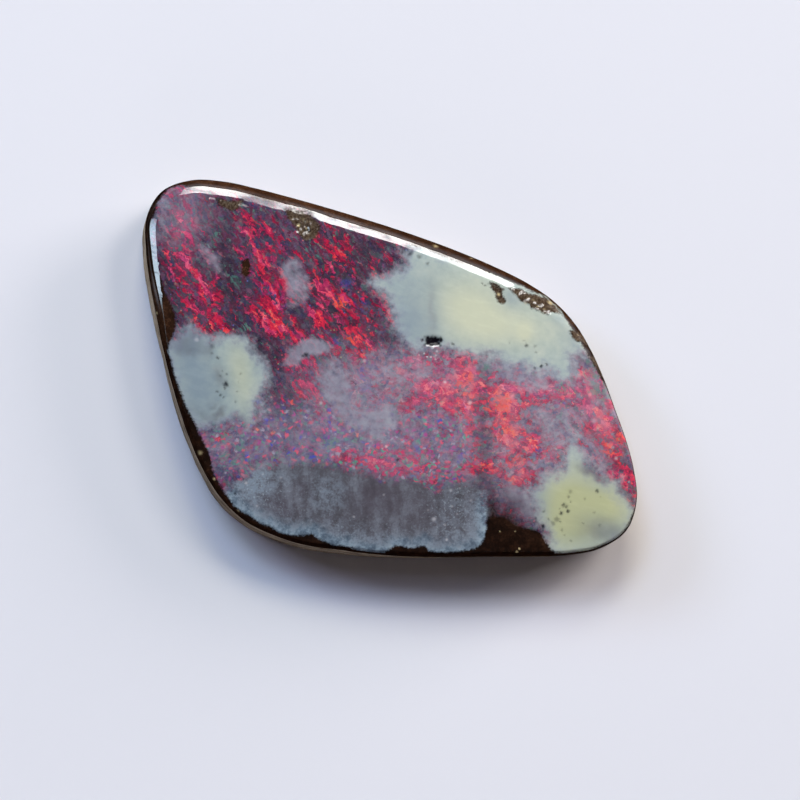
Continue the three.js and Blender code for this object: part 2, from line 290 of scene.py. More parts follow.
PINFIRE = [
    (222, 443, 20, 18, 0, 1.0), (250, 440, 16, 14, 0, .7), (285, 440, 26, 18, 0, .9), (330, 435, 24, 18, 0, .8),
    (352, 452, 20, 10, 0, .9), (385, 462, 24, 16, 0, 1.0), (420, 455, 26, 22, 0, 1.0), (450, 462, 16, 18, 0, 1.0),
    (430, 482, 12, 8, 0, .8), (300, 460, 20, 8, 0, .6), (235, 470, 14, 12, 0, .6), (460, 435, 20, 14, 0, .6),
    (420, 425, 24, 12, 0, .6), (300, 415, 16, 10, 0, .5), (545, 460, 14, 10, 0, .4), (560, 390, 10, 8, 0, .4),
    (275, 415, 10, 10, 0, .5), (330, 410, 8, 8, 0, .4),
]
DARK = [
    (484, 425, 7, 58, 0, .85), (545, 424, 16, 9, 0, .35), (600, 436, 7, 6, 40, .4), (285, 438, 24, 11, 0, .42),
    (335, 320, 14, 8, 35, 1.), (345, 277, 14, 9, 20, .9), (268, 352, 14, 8, 70, .8), (282, 405, 18, 9, 0, .8),
    (166, 295, 30, 8, 80, 1.), (226, 262, 35, 12, 75, .7), (360, 248, 22, 12, 25, .8), (488, 485, 16, 9, 88, 1.),
    (482, 420, 20, 8, 85, .25), (232, 290, 20, 8, 80, .6), (262, 300, 12, 6, 60, .4), (330, 268, 6, 8, 0, .4),
    (250, 345, 10, 6, 60, .5), (615, 440, 7, 5, 20, .7), (620, 466, 8, 5, 30, .8), (300, 330, 10, 8, 40, .6),
    (375, 340, 12, 6, 30, .5), (318, 262, 10, 8, 60, .4), (385, 335, 6, 6, 0, .5),
]
PINK = [
    (183, 225, 28, 16, 80, 1.25), (205, 312, 18, 8, 75, .2), (305, 380, 20, 14, 70, .9), (430, 375, 34, 16, 5, .9),
    (540, 385, 36, 12, 5, .9), (590, 395, 20, 16, 30, .7), (385, 460, 20, 14, 0, 1.0), (430, 458, 24, 14, 0, .5), (420, 410, 30, 10, 0, .6),
    (255, 240, 14, 14, 0, .4), (612, 474, 14, 8, 30, .7), (520, 441, 6, 5, 0, .5),
]
HOT = [
    (501, 402, 10, 8, 0, 1.25), (340, 302, 9, 6, 30, 1.0), (347, 338, 6, 4, 20, .5), (520, 456, 7, 6, 0, .7),
    (513, 480, 5, 4, 0, .7), (620, 437, 7, 5, 60, .8), (612, 452, 9, 4, 40, .8), (294, 400, 5, 4, 0, .9),
    (467, 382, 14, 8, 85, .8), (180, 264, 10, 8, 40, .2), (338, 258, 10, 8, 40, .3), (362, 346, 8, 6, 40, .4),
    (242, 220, 9, 6, 40, .3), (508, 432, 10, 6, 0, .5), (270, 268, 6, 6, 0, .2), (487, 467, 6, 5, 0, .4),
]
TEAL = [
    (272, 462, 16, 4, -6, .5), (243, 468, 12, 7, 0, .4), (318, 458, 12, 4, 0, .35), (228, 456, 5, 5, 0, .5), (420, 462, 5, 4, 0, .6),
    (597, 374, 9, 7, 40, .8), (603, 390, 8, 7, 50, .8), (596, 392, 5, 5, 0, .7), (219, 237, 6, 5, 40, .34),
    (213, 245, 5, 5, 0, .34), (228, 272, 10, 4, 70, .30), (565, 388, 10, 5, 20, .5), (560, 414, 10, 6, 0, .4),
    (245, 327, 4, 3, 0, 1.0), (315, 250, 7, 6, 60, .6), (260, 211, 7, 4, 0, .7), (486, 366, 4, 4, 0, .8),
    (334, 438, 12, 8, 0, .45), (330, 442, 4, 3, 0, 1.0), (342, 421, 3, 3, 0, 1.0), (320, 409, 4, 4, 0, .6), (240, 446, 3, 4, 0, 1.0),
    (455, 479, 5, 3, 0, 1.0), (457, 470, 3, 3, 0, .8), (285, 466, 10, 4, 0, .4), (225, 434, 3, 3, 0, .8),
]
BLUE = [
    (460, 457, 4, 4, 0, 1.3), (257, 401, 3, 2, 0, 1.2), (266, 286, 5, 4, 30, .38), (280, 302, 6, 5, 45, .38),
    (345, 283, 7, 5, 0, .36), (336, 341, 3, 3, 0, .6), (360, 305, 8, 5, 20, .32), (365, 378, 12, 6, 85, .5),
    (416, 448, 3, 3, 0, .8), (560, 402, 4, 2, 0, .9), (535, 450, 7, 8, 0, .5), (324, 437, 12, 9, 0, .5),
]
CREAM = [
    (468, 308, 30, 22, 10, 1.0), (500, 330, 26, 14, 0, .5), (237, 358, 9, 15, -10, .34), (243, 385, 8, 20, -6, .44),
    (578, 498, 30, 22, 10, 1.0), (572, 522, 26, 15, 0, .7), (612, 510, 16, 14, 0, .4), (545, 330, 30, 14, 20, .3),
    (525, 333, 6, 8, 0, .5),
]
YELLOW = [
    (241, 374, 8, 20, -8, .20), (580, 495, 26, 16, 0, .8), (570, 515, 26, 18, 0, .9), (612, 514, 14, 14, 0, .5), (575, 535, 24, 10, 0, .5),
]
COOL = [
    (198, 380, 18, 44, -14, .35), (606, 530, 17, 9, 20, .8), (585, 540, 16, 6, 10, .35),
    (408, 292, 26, 18, 80, .68), (434, 308, 24, 5, 88, .3), (415, 325, 18, 16, 0, .7), (190, 360, 26, 18, 80, .6),
    (200, 400, 22, 16, 60, .5), (538, 503, 22, 9, 85, .8), (512, 298, 8, 8, 0, .7),
    (575, 338, 10, 10, 0, .5), (183, 340, 12, 12, 0, .8), (560, 318, 6, 6, 0, .5), (600, 485, 16, 6, 10, .4),
]
HAZE = [
    (388, 462, 24, 9, 0, .35),
    (532, 380, 38, 9, 5, .9), (605, 405, 16, 12, 40, .5), (548, 420, 20, 14, 0, .5),
    (350, 402, 42, 34, 0, .8), (430, 445, 60, 34, 0, .8), (290, 440, 60, 20, 0, .7), (520, 430, 46, 46, 0, .75),
    (590, 430, 32, 46, 0, .7), (612, 446, 16, 14, 40, .3), (430, 372, 50, 18, 0, .8), (184, 214, 26, 18, 80, .62), (230, 440, 26, 20, 0, .6),
    (545, 385, 40, 14, 0, .5), (500, 480, 30, 20, 0, .3), (535, 395, 24, 12, 0, .4), (330, 432, 24, 14, 0, .4),
]
DUST = [(252, 492, 22, 16, 30, .9), (455, 510, 24, 24, 0, .8), (290, 500, 40, 20, 0, .3), (355, 530, 40, 10, 0, .4)]
RUST = [(246, 268, 4, 8, 0, 1.0), (167, 312, 26, 9, 80, .8), (512, 522, 10, 7, 30, .35), (538, 540, 7, 5, 30, .45), (380, 232, 140, 10, 18, .8),
        (560, 305, 40, 12, 45, .8), (250, 193, 80, 6, 10, .7)]
SMUDGE = [(400, 502, 34, 16, 0, .30), (435, 545, 34, 4, 0, .26), (281, 506, 13, 9, 0, .42), (300, 489, 7, 9, 0, .28), (372, 494, 12, 14, 0, .28), (510, 500, 11, 10, 30, .62), (522, 512, 10, 8, 40, .42), (219, 413, 3.5, 3, 0, .6), (205, 415, 10, 4, 30, .35), (186, 342, 8, 5, 40, .42), (197, 337, 6, 3.5, 30, .36), (180, 350, 5, 4, 20, .35), (202, 350, 5, 4, 30, .3), (192, 352, 4, 3, 0, .3), (212, 348, 3, 7, 20, .4), (219, 371, 5, 4, 30, .35), (222, 380, 5, 6, 0, .3),
          (586, 470, 7, 4, 10, .5), (598, 476, 8, 3, 20, .45), (432, 312, 3, 22, 0, .22), (604, 531, 18, 8, 14, .42), (478, 490, 5, 12, 0, .3),
          (213, 404, 3, 2, 0, .4), (243, 420, 8, 5, 20, .3)]
PALE = [(246, 490, 18, 16, 30, 1.1), (330, 494, 14, 13, 0, .75), (462, 512, 18, 20, 0, .5), (482, 516, 4, 22, 0, 1.0), (265, 478, 24, 7, -8, .5),
        (340, 535, 24, 8, 5, .6), (288, 524, 16, 8, 20, .6), (455, 540, 30, 8, -5, .5), (384, 540, 24, 8, 0, .5)]
PIT = [(424, 338), (430, 335), (437, 336), (442, 340), (440, 345), (433, 347), (427, 345), (423, 342)]
# dark specks: place, radius, strength
SPECKS = [
    (226, 384, 2.6, 1.0), (224, 388, 1.6, .7), (218, 358, 1.9, .8), (213, 346, 2.2, .5), (212, 353, 1.4, .35),
    (221, 375, 1.6, .5), (223, 371, 1.2, .4), (217, 392, 1.2, .6), (220, 395, 1.3, .7), (223, 397, 1.2, .6),
    (237, 391, 1.2, .4), (241, 374, 1.2, .4), (235, 402, 1.3, .4), (239, 382, 1.0, .3), (227, 374, 1.2, .5),
    (453, 344, 1.5, .7), (526, 345, 1.9, .8), (524, 340, .9, .6), (541, 366, 1.5, 1.0), (546, 365, 1.5, .9),
    (535, 368, 1.3, .6), (535, 346, 1.6, .4), (536, 352, 1.3, .4), (510, 343, 1.0, .3),
    (563, 505, 1.9, .8), (566, 507, 1.7, .7), (568, 511, 1.6, 1.0), (561, 513, 1.5, 1.0), (557, 519, 2.4, .5),
    (553, 523, 2.2, .45), (560, 521, 1.3, .6), (543, 526, 1.6, 1.0), (544, 512, 1.4, .6), (536, 518, 1.6, .5),
    (549, 519, 1.2, .5), (571, 492, 1.9, .4), (569, 497, 1.4, .5), (597, 491, 1.7, .8), (585, 499, 1.1, .35),
    (594, 512, 1.4, .35), (583, 523, 1.1, .4), (562, 530, 1.4, .4), (564, 535, 1.1, .45), (600, 525, 1.6, .35),
    (571, 541, 1.3, .4), (600, 496, 1.0, .4), (570, 502, 1.1, .5), (560, 509, 1.0, .4),
    (306, 355, 2.2, 1.0), (303, 356, 1.4, .8), (235, 494, 1.3, .8), (372, 319, 1.6, .7), (411, 253, 2.0, .8),
    (419, 256, 2.0, .7), (428, 263, 1.8, .6), (482, 284, 1.2, .6), (485, 286, 1.2, .6), (398, 460, 1.6, .8),
    (448, 473, 1.4, .6), (577, 341, 1.4, .9), (428, 340, 2.6, 1.0), (433, 341, 3.0, 1.0), (437, 340, 2.6, 1.0),
    (425, 344, 1.8, .8), (440, 345, 1.6, .8),
]
# pale glints: place, radius, strength
GLINTS = [
    (386, 447, 1.7, 1.0), (382, 449, 1.2, .7), (321, 403, 2.2, .7), (364, 361, 2.2, .7), (470, 403, 2.4, .8),
    (445, 382, 1.8, .9), (437, 540, 1.5, .0), (354, 517, 1.4, .6), (434, 519, 2.2, .7), (447, 540, 1.6, .9),
    (384, 495, 1.4, .4), (452, 506, 1.4, .5), (445, 525, 1.6, .4), (457, 514, 1.3, .4), (246, 483, 1.8, .8),
    (263, 475, 1.4, .6), (257, 506, 1.4, .6), (281, 478, 1.6, .4), (424, 353, 1.3, 1.0), (433, 348, 1.5, 1.0),
    (437, 351, 1.2, .9), (419, 355, 1.1, .8), (431, 357, 1.2, .9), (436, 359, 1.3, .9), (427, 357, 1.1, .8),
    (197, 340, 2.6, .7), (436, 355, 1.0, .8), (616, 458, 2.0, .7), (594, 421, 3.0, .45), (598, 428, 2.0, .4),
    (556, 449, 1.4, .6), (512, 396, 4.0, .4), (426, 422, 1.6, .5), (464, 426, 1.4, .5), (460, 488, 1.3, .4),
    (451, 490, 1.6, .5), (471, 500, 1.6, .4), (428, 510, 1.4, .3), (629, 482, 1.4, .6), (630, 447, 1.3, .5),
    (613, 448, 2.0, .5),
]
# gold and tan grains in the ironstone: place, radius, strength
GRAINS = [
    (516, 552, 1.3, 1.0), (519, 549, 1.3, 1.0), (214, 479, 1.5, 1.0), (200, 453, 2.4, .45), (238, 510, 1.4, .5),
    (499, 294, 1.8, .9), (525, 305, 2.6, .9), (503, 286, 2.2, .8), (550, 303, 2.8, .7), (299, 225, 1.8, 1.0),
    (303, 219, 1.6, .7), (157, 313, 1.6, .5), (436, 246, 2.4, .6), (297, 200, 1.8, .8), (471, 258, 1.6, .6),
    (307, 228, 1.3, .6), (500, 531, 1.0, .5), (515, 531, 1.0, .4), (538, 306, 1.0, .5), (533, 300, 1.2, .4),
    (545, 309, 1.0, .5), (578, 334, 1.0, .6), (204, 462, 1.0, .4),
]


def dots(spots, u, v):
    s = np.zeros(u.shape)
    for cx, cy, r, amp in spots:
        at = P[np.argmin(np.where(face, np.hypot(U - cx, V - cy), 1e9))]
        d = np.maximum(np.hypot(u - cx, v - cy), np.linalg.norm(P - at, axis=1) / MM_PER_PX * 0.85)
        s = np.maximum(s, amp * (1 - smooth(r * 0.3, r * 1.3, d)))
    return s


# ---------------------------------------------------------------------------
# Mesh: fine lattice on the dome, rings over shoulder, wall, foot and back
# ---------------------------------------------------------------------------
SPACING = 0.074
SHOULDER, WALL, FOOT = 20, 12, 4


def ring(out, zz):
    p = PLAN + NORMAL * np.broadcast_to(out, (M,))[:, None]
    return np.column_stack([p, np.broadcast_to(zz, (M,))])


rings = []                                   # from the dome's edge down to the back
for k in range(SHOULDER, -1, -1):
    a = math.pi / 2 + (END - math.pi / 2) * k / SHOULDER
    e = 2 / POWER
    rings.append((ring(EDGE - WIDTH * (1 - np.sin(a) ** e), RIM + RISE * np.maximum(0, np.cos(a)) ** e), 0.0))
for k in range(1, WALL + 1):
    f = k / WALL
    rings.append((ring(EDGE + (OUT - EDGE) * f, RIM + (FOOT_HEIGHT - RIM) * f), 1.0))
for k in range(1, FOOT + 1):
    a = math.pi / 2 * k / FOOT
    rings.append((ring(OUT - FOOT_INSET * (1 - math.cos(a)), FOOT_HEIGHT * (1 - math.sin(a))), 1.0))
back_edge = PLAN + NORMAL * (OUT - FOOT_INSET)[:, None]
for f in (0.03, 0.1, 0.2, 0.32, 0.46, 0.62, 0.8):
    p = back_edge * (1 - f) + CROWN * f
    rings.append((np.column_stack([p, np.zeros(M)]), 2.0))

ring_pts = np.concatenate([r[0] for r in rings])
ring_zone = np.concatenate([np.full(M, r[1]) for r in rings])
n_ring = len(rings)

edge = rings[0][0][:, :2]
lo, hi = edge.min(0), edge.max(0)
rows = np.arange(lo[1], hi[1], SPACING * math.sqrt(3) / 2)
lat = []
for j, yy in enumerate(rows):
    xs = np.arange(lo[0] + (SPACING / 2 if j % 2 else 0), hi[0], SPACING)
    lat.append(np.column_stack([xs, np.full(len(xs), yy)]))
lat = np.concatenate(lat)
lat = lat[inside_distance(edge[::2], lat[:, 0], lat[:, 1]) > SPACING * 0.6]


def from_px(px, py):
    """Plan position on the dome under a pixel."""
    ray = LOOK + (px - 400) * MM_PER_PX / CAM_DIST * RIGHT - (py - 400) * MM_PER_PX / CAM_DIST * UP
    zz = 2.9
    for _ in range(6):
        p = EYE + ray * ((zz - EYE[2]) / ray[2])
        zz = float(dome(p[0], p[1])[0])
    return p[:2]


extra = []
for cx, cy, r, amp in SPECKS + GLINTS + GRAINS:
    c = from_px(cx, cy)
    for rr, n in ((0, 1), (0.5, 6), (1.0, 10), (1.5, 12)):
        for i in range(n):
            a = 2 * math.pi * (i + 0.5 * (n % 4)) / n
            extra.append(c + rr * r * MM_PER_PX * np.array([math.cos(a), math.sin(a)]))
extra = np.array(extra)
extra = extra[inside_distance(edge[::2], extra[:, 0], extra[:, 1]) > SPACING * 0.6]
cells = {}
kept = []
for q in extra:                              # no two refining points closer than 0.02 mm
    key = (int(q[0] // 0.022), int(q[1] // 0.022))
    if key not in cells:
        cells[key] = True
        kept.append(q)
extra = np.array(kept)
inner = np.concatenate([lat, extra])

coords = [Vector(p) for p in edge] + [Vector(p) for p in inner]
edges = [(i, (i + 1) % M) for i in range(M)]
verts2, _, tris, orig, _, _ = delaunay_2d_cdt(coords, edges, [list(range(M))], 1, 1e-6, True)
top_xy = np.array([tuple(p) for p in verts2])
top_ring = np.array([min([k for k in o if k < M], default=-1) for o in orig])
top_z = dome(top_xy[:, 0], top_xy[:, 1])[0]

# join the dome's vertices to the rings
n_base = len(ring_pts)
index = np.empty(len(top_xy), int)
new_pts = []
for i in range(len(top_xy)):
    if top_ring[i] >= 0:
        index[i] = top_ring[i]
    else:
        index[i] = n_base + len(new_pts)
        new_pts.append((top_xy[i, 0], top_xy[i, 1], top_z[i]))
P = np.concatenate([ring_pts, np.array(new_pts), [[CROWN[0], CROWN[1], 0.0]]])
zone = np.concatenate([ring_zone, np.zeros(len(new_pts)), [2.0]])
centre_back = len(P) - 1

faces = []
for t in tris:
    a, b, c = (int(index[k]) for k in t)
    q = P[[a, b, c]]
    up = (q[1, 0] - q[0, 0]) * (q[2, 1] - q[0, 1]) - (q[1, 1] - q[0, 1]) * (q[2, 0] - q[0, 0])
    faces.append((a, b, c) if up > 0 else (a, c, b))
for k in range(n_ring - 1):
    for i in range(M):
        j = (i + 1) % M
        faces.append((k * M + i, k * M + j, (k + 1) * M + j, (k + 1) * M + i))
for i in range(M):
    faces.append(((n_ring - 1) * M + i, (n_ring - 1) * M + (i + 1) % M, centre_back))

# ---------------------------------------------------------------------------
# Fields of the markings on every vertex of the polished face
# ---------------------------------------------------------------------------
px = to_px(P)
U, V = px[:, 0], px[:, 1]
face = zone < 0.5
warp_u = 3.0 * fbm(U / 14, V / 14, 11) + 1.2 * fbm(U / 4.5, V / 4.5, 21)
warp_v = 3.0 * fbm(U / 14, V / 14, 31) + 1.2 * fbm(U / 4.5, V / 4.5, 41)
UW, VW = U + 0.5 * warp_u, V + 0.5 * warp_v
UM, VM = U + warp_u, V + warp_v

opal = inside_distance(OPAL, UW * 0.6 + U * 0.4, VW * 0.6 + V * 0.4)
spots = np.max([inside_distance(s, UW, VW) for s in IRON_SPOTS], axis=0)
opal = np.minimum(opal, -np.maximum(spots, inside_distance(PLUG, UW, VW)))
potch = np.max([inside_distance(s, UM, VM) for s in POTCH], axis=0)
grey = inside_distance(GREY, UM, VM)
veil = np.zeros(len(P))
for poly, amp in VEILS:
    veil = np.maximum(veil, amp * smooth(-10, 10, inside_distance(poly, UM, VM)))

rough_px, rough_py = 2.2 * fbm(U / 3.4, V / 3.4, 141, 2), 2.2 * fbm(U / 3.4, V / 3.4, 151, 2)
fields = {
    "opal": opal, "spots": spots, "potch": potch, "grey": grey, "veil": veil,
    "red_steep": clouds(RED_STEEP, U, V), "red_flat": clouds(RED_FLAT, U, V), "red_slant": clouds(RED_SLANT, U, V),
    "pinfire": clouds(PINFIRE, U, V), "dark": clouds(DARK, U + 1.6 * warp_u, V + 1.6 * warp_v), "pink": clouds(PINK, U, V),
    "hot": clouds(HOT, U, V), "teal": clouds(TEAL, U, V), "blue": clouds(BLUE, U, V),
    "cream": clouds(CREAM, U, V), "yellow": clouds(YELLOW, U, V), "cool": clouds(COOL, U, V),
    "speck": dots([(a, b, r * 1.3, k) for a, b, r, k in SPECKS], U + 0.3 * warp_u + 0.9 * fbm(U / 1.9, V / 1.9, 121, 2), V + 0.3 * warp_v + 0.9 * fbm(U / 1.9, V / 1.9, 131, 2)), "glint": dots(GLINTS, UW * .4 + U * .6, VW * .4 + V * .6),
    "haze": clouds(HAZE, U, V), "dust": clouds(DUST, U, V), "rust": clouds(RUST, U, V),
    "smudge": clouds(SMUDGE, UM, VM), "pale": clouds(PALE, UM, VM),
    "pit": smooth(-1.5, 1.5, inside_distance(PIT, UM + 0.8 * rough_px, VM + 0.8 * rough_py)), "soft": clouds([(512, 514, 17, 9, 38, 1.0), (492, 505, 5, 12, 0, 0.8), (306, 226, 15, 11, 40, 0.5)], U, V), "grain": dots(GRAINS, UW * .4 + U * .6, VW * .4 + V * .6),
}
for name in fields:
    fields[name] = np.where(face, fields[name], 0.0)
fields["zone"] = zone
girdle = np.zeros(len(P))
girdle[:n_base] = smooth(0.75, 0.40, (P[:n_base, 2] - np.tile(RIM, n_ring)) / np.tile(RISE, n_ring)) * np.tile(BEVEL, n_ring)
fields["girdle"] = np.where(face, girdle, 0.0)
gloss = np.ones(len(P))
share = (P[:n_base, 2] - np.tile(RIM, n_ring)) / np.tile(RISE, n_ring)
narrow = np.tile(smooth(0.38, 0.26, WIDTH), n_ring)
gloss -= 0.6 * clouds([(266, 202, 14, 6, 15, 1.2), (440, 254, 12, 4, 22, 0.7), (412, 246, 6, 3, 22, 0.5), (154, 214, 8, 7, 0, 1.3),
                      (182, 190, 8, 6, 0, 1.2), (211, 200, 7, 3, 10, 1.4), (246, 205, 7, 3.5, 15, 1.3)], px[:, 0], px[:, 1])
bev = np.tile(BEVEL, n_ring)
polished = np.clip((share - (0.69 - 0.39 * bev)) / (0.14 + 0.14 * bev), 0, 1)
gloss[:n_base] *= np.clip(polished - narrow * smooth(1.02, 0.98, share), 0, 1)
fields["gloss"] = np.where(face, np.maximum(gloss, 0.0), 0.0)

# ---------------------------------------------------------------------------
# Relief: pits, undercut ironstone, faint waviness of the hand polish, ground wall
# ---------------------------------------------------------------------------
x, y, z = P[:, 0], P[:, 1], P[:, 2]
rough = fbm(U / 3.2, V / 3.2, 51, 3)
depth = np.zeros(len(P))
depth += 0.007 * smooth(2.0, -5.0, opal)
depth += 0.028 * smooth(-3.0, 6.0, spots) * (0.8 + 0.5 * rough)
depth += 0.13 * clouds([(433, 341, 6.0, 3.4, 5, 1.0)], UW, VW, 1.2)
depth += 0.012 * clouds([(430, 353, 8, 4, 0, 1.0)], U, V, 1.5) * (0.5 + rough)
depth += 0.06 * clouds([(304, 224, 12, 8, 40, 1.0)], U, V, 1.0) * (0.9 + 0.6 * rough)
depth += 0.008 * fields["speck"]
depth += 0.0045 * fbm(x / 1.7, y / 1.7, 61, 2) + 0.0012 * fbm(x / 0.5, y / 0.5, 71, 2)
broad = np.zeros(len(P))
broad[:n_base] = np.tile(smooth(0.5, 0.9, WIDTH), n_ring)
depth += broad * (0.004 * fbm(x / 0.45, y / 0.45, 101, 2) + 0.006 * fbm(x / 1.1, y / 1.1, 111, 2))
depth = np.where(face, depth, 0.0)
gx, gy = dome(x, y)[1:]
nz = 1 / np.sqrt(1 + gx * gx + gy * gy)
over = np.full(len(P), 1.0)
over[:n_base] = z[:n_base] - np.tile(RIM, n_ring)
P[:, 2] -= np.where(face, depth * nz * smooth(0.0, 0.12, over), 0.0)

# wall: shallow grinding waves and a slightly worn upper edge
wall = (zone > 0.5) & (zone < 1.5)
ang = np.arctan2(y, x)
out_dir = np.zeros((len(P), 2))
out_dir[:n_base] = np.tile(NORMAL, (n_ring, 1))
arc = np.zeros(len(P))
step = np.linalg.norm(np.roll(PLAN, -1, axis=0) - PLAN, axis=1)
arc[:n_base] = np.tile(np.concatenate([[0], np.cumsum(step)[:-1]]), n_ring)
wave = -0.02 * np.abs(fbm(arc / 1.3, z / 0.5, 81, 3)) - 0.008 * np.abs(fbm(arc / 0.25, z / 0.16, 91, 2))
hold = smooth(0, 0.12, z) * smooth(0.01, -0.25, over)
P[:, :2] += out_dir * np.where(wall, wave * hold, 0.0)[:, None]

# ---------------------------------------------------------------------------
# Blender object
# ---------------------------------------------------------------------------
mid = (np.array(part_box("boulder_opal")[0]) + np.array(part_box("boulder_opal")[1])) / 2 * 1000
widest = PLAN + NORMAL * np.maximum(OUT, EDGE)[:, None]
lo_xy, hi_xy = widest.min(0), widest.max(0)
SHIFT = np.array([mid[0] - (lo_xy[0] + hi_xy[0]) / 2, mid[1] - (lo_xy[1] + hi_xy[1]) / 2, 0.0])
mesh = bpy.data.meshes.new("boulder_opal_stone")
mesh.from_pydata([tuple(p) for p in (P + SHIFT) * 0.001], [], faces)
mesh.update()
stone = bpy.data.objects.new("boulder_opal_stone", mesh)
bpy.context.scene.collection.objects.link(stone)
mesh.polygons.foreach_set("use_smooth", np.ones(len(mesh.polygons), bool))
for name, values in fields.items():
    att = mesh.attributes.new(name, "FLOAT", "POINT")
    att.data.foreach_set("value", np.ascontiguousarray(values, dtype=np.float32))


# UV map: the face from above, the wall as a strip and the back small below it
TO_UV = 0.97 / (hi_xy[0] - lo_xy[0])
turn_len = float(step.sum())
corner_uv = []
for fc in faces:
    zz = max(zone[k] for k in fc)
    if zz < 0.5:
        corner_uv += [(0.015 + (P[k, 0] - lo_xy[0]) * TO_UV, 0.235 + (P[k, 1] - lo_xy[1]) * TO_UV) for k in fc]
    elif zz < 1.5:
        wraps = min(k % M for k in fc) == 0 and max(k % M for k in fc) == M - 1
        for k in fc:
            along = turn_len if wraps and k % M == 0 else arc[k]
            corner_uv.append((0.015 + along / turn_len * 0.66, 0.15 - (k // M - SHOULDER) / (WALL + FOOT) * 0.13))
    else:
        corner_uv += [(0.70 + (P[k, 0] - lo_xy[0]) * TO_UV * 0.28, 0.005 + (P[k, 1] - lo_xy[1]) * TO_UV * 0.28) for k in fc]
uv = mesh.uv_layers.new(name="OFBake")
uv.data.foreach_set("uv", np.array(corner_uv, dtype=np.float32).ravel())

# ---------------------------------------------------------------------------
# Materials
# ---------------------------------------------------------------------------
def lin(r, g, b, gain=1.0):
    def one(c):
        c = c / 255
        return (c / 12.92 if c <= 0.04045 else ((c + 0.055) / 1.055) ** 2.4) * gain
    return (one(r), one(g), one(b), 1.0)


class Graph:
    """Short names for the shader nodes used below."""

    def __init__(self, material):
        self.tree = material.node_tree
        self.tree.nodes.clear()

    def node(self, kind, **props):
        n = self.tree.nodes.new(kind)
        for k, v in props.items():
            setattr(n, k, v)
        return n

    def put(self, socket, value):
        if isinstance(value, bpy.types.NodeSocket):
            self.tree.links.new(value, socket)
        elif isinstance(value, tuple) and len(value) == 4 and socket.type == "VECTOR":
            socket.default_value = value[:3]
        else:
            socket.default_value = value

    def attr(self, name):
        return self.node("ShaderNodeAttribute", attribute_name=name).outputs["Fac"]

    def math(self, op, a, b=None, clamp=False):
        n = self.node("ShaderNodeMath", operation=op, use_clamp=clamp)
        self.put(n.inputs[0], a)
        if b is not None:
            self.put(n.inputs[1], b)
        return n.outputs[0]

    def add(self, a, b):
        return self.math("ADD", a, b)

    def mul(self, a, b):
        return self.math("MULTIPLY", a, b)

    def sub(self, a, b):
        return self.math("SUBTRACT", a, b)

    def step(self, value, lo, hi, out_lo=0.0, out_hi=1.0):
        n = self.node("ShaderNodeMapRange", interpolation_type="SMOOTHSTEP")
        self.put(n.inputs["Value"], value)
        n.inputs["From Min"].default_value, n.inputs["From Max"].default_value = lo, hi
        n.inputs["To Min"].default_value, n.inputs["To Max"].default_value = out_lo, out_hi
        return n.outputs["Result"]

    def mix(self, fac, a, b, mode="MIX"):
        n = self.node("ShaderNodeMix", data_type="RGBA", blend_type=mode)
        self.put(n.inputs[0], fac)
        self.put(n.inputs[6], a)
        self.put(n.inputs[7], b)
        return n.outputs[2]

    def pick(self, fac, a, b):
        n = self.node("ShaderNodeMix", data_type="VECTOR")
        self.put(n.inputs[0], fac)
        self.put(n.inputs[4], a)
        self.put(n.inputs[5], b)
        return n.outputs[1]

    def vec(self, op, a, b):
        n = self.node("ShaderNodeVectorMath", operation=op)
        self.put(n.inputs[0], a)
        self.put(n.inputs[1], b)
        return n.outputs["Value" if op == "DOT_PRODUCT" else "Vector"]

    def turned(self, p, degrees, along, across):
        """Coordinates turned to a direction in plan and stretched along it."""
        c, s = math.cos(math.radians(degrees)), math.sin(math.radians(degrees))
        n = self.node("ShaderNodeCombineXYZ")
        self.put(n.inputs[0], self.vec("DOT_PRODUCT", p, (c * along, s * along, 0.0)))
        self.put(n.inputs[1], self.vec("DOT_PRODUCT", p, (-s * across, c * across, 0.0)))
        return n.outputs[0]

    def noise(self, p, scale, detail=2.0, rough=0.5, distortion=0.0, color=False):
        n = self.node("ShaderNodeTexNoise")
        self.put(n.inputs["Vector"], p)
        n.inputs["Scale"].default_value = scale
        n.inputs["Detail"].default_value = detail
        n.inputs["Roughness"].default_value = rough
        n.inputs["Distortion"].default_value = distortion
        return n.outputs["Color" if color else "Fac"]

    def cells(self, p, scale, feature="F1"):
        n = self.node("ShaderNodeTexVoronoi", feature=feature)
        self.put(n.inputs["Vector"], p)
        n.inputs["Scale"].default_value = scale
        return n.outputs["Distance"], n.outputs["Color"]

    def split(self, color):
        n = self.node("ShaderNodeSeparateColor")
        self.put(n.inputs[0], color)
        return n.outputs[0], n.outputs[1], n.outputs[2]

    def ramp(self, fac, stops, kind="LINEAR"):
        n = self.node("ShaderNodeValToRGB")
        n.color_ramp.interpolation = kind
        els = n.color_ramp.elements
        while len(els) < len(stops):
            els.new(0.5)
        for e, (pos, col) in zip(els, stops):
            e.position, e.color = pos, col
        self.put(n.inputs[0], fac)
        return n.outputs[0]


GAIN = 1.02

stone_mat = bpy.data.materials.new("boulder_opal")
stone_mat.use_nodes = True
g = Graph(stone_mat)
pos = g.vec("MULTIPLY", g.node("ShaderNodeTexCoord").outputs["Object"], (1000.0, 1000.0, 1000.0))

# -- noises shared by the layers
cloudy = g.noise(pos, 0.55, 3, 0.55)
mottle = g.noise(pos, 2.6, 4, 0.6)
grit = g.noise(pos, 11.0, 3, 0.65)
bend = g.vec("SUBTRACT", g.noise(pos, 1.1, 3, 0.6, color=True), (0.5, 0.5, 0.5))
bent = g.vec("ADD", pos, g.vec("MULTIPLY", bend, (0.55, 0.55, 0.0)))
fuzz = g.vec("SUBTRACT", g.noise(pos, 7.0, 3, 0.7, color=True), (0.5, 0.5, 0.5))
flat_pos = g.vec("MULTIPLY", bent, (1.0, 1.0, 0.0))

